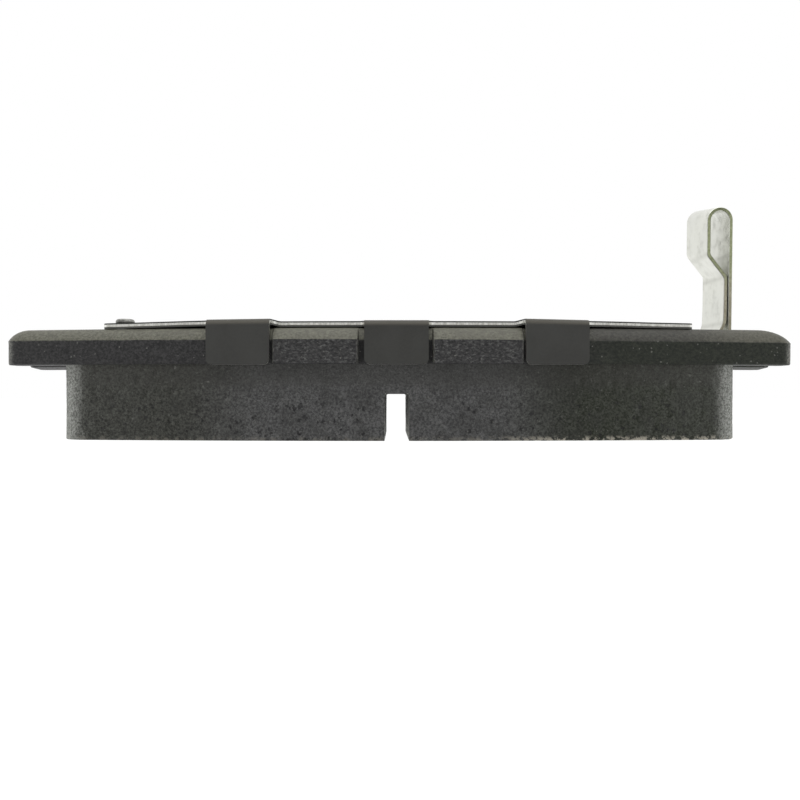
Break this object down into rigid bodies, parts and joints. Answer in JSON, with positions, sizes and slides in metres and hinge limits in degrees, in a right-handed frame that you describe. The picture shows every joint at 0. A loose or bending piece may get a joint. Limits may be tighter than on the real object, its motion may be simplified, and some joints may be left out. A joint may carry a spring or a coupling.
{
  "type": "disc brake pad",
  "caption": "Disc brake pad: slotted friction block on an eared steel plate, a folded clip-on noise shim and a riveted spring wear indicator.",
  "frame": {"origin": "centre of the bounding box, on the plane of the friction face", "axes": "+Z from the friction face to the shim, +X along the pad to the wear indicator's end, -Y to the pad's outer (convex) edge"},
  "size_m": [0.1368, 0.0548, 0.0442],
  "materials": {
    "plate_coating": "thin dark grey-brown coating over a stamped steel plate",
    "underlayer": "fine moulded insulating layer, dull brown-grey",
    "friction_material": "coarse moulded friction material, dark grey with light specks and pits",
    "shim_rubber": "thin satin black rubber bonded to steel",
    "shim_steel": "bright sheared edge of cold-rolled steel",
    "eyelet_steel": "dull dark plated steel",
    "spring_steel": "bright tumbled spring steel with faint bend marks",
    "rivet_steel": "plain zinc-plated steel"
  },
  "bodies": {
    "pad": {"backing_plate": "plate_coating", "underlayer": "underlayer", "friction_block": "friction_material", "shim_outer_rubber": "shim_rubber", "shim_inner_rubber": "shim_rubber", "shim_core": "shim_steel", "shim_eyelet": "eyelet_steel", "wear_indicator_strip": "spring_steel", "wear_indicator_rivet": "rivet_steel"},
    "wear_feeler": {"wear_indicator_feeler": "spring_steel"}
  },
  "joints": [
    {"name": "wear_feeler_flex", "type": "hinge", "parent": "pad", "child": "wear_feeler", "pos_m": [0.06284, 0.01349, 0.04105], "axis": [0.064, -0.99, -0.1253], "range_deg": [0, 4], "stiffness_Nm_per_rad": 6.3}
  ]
}
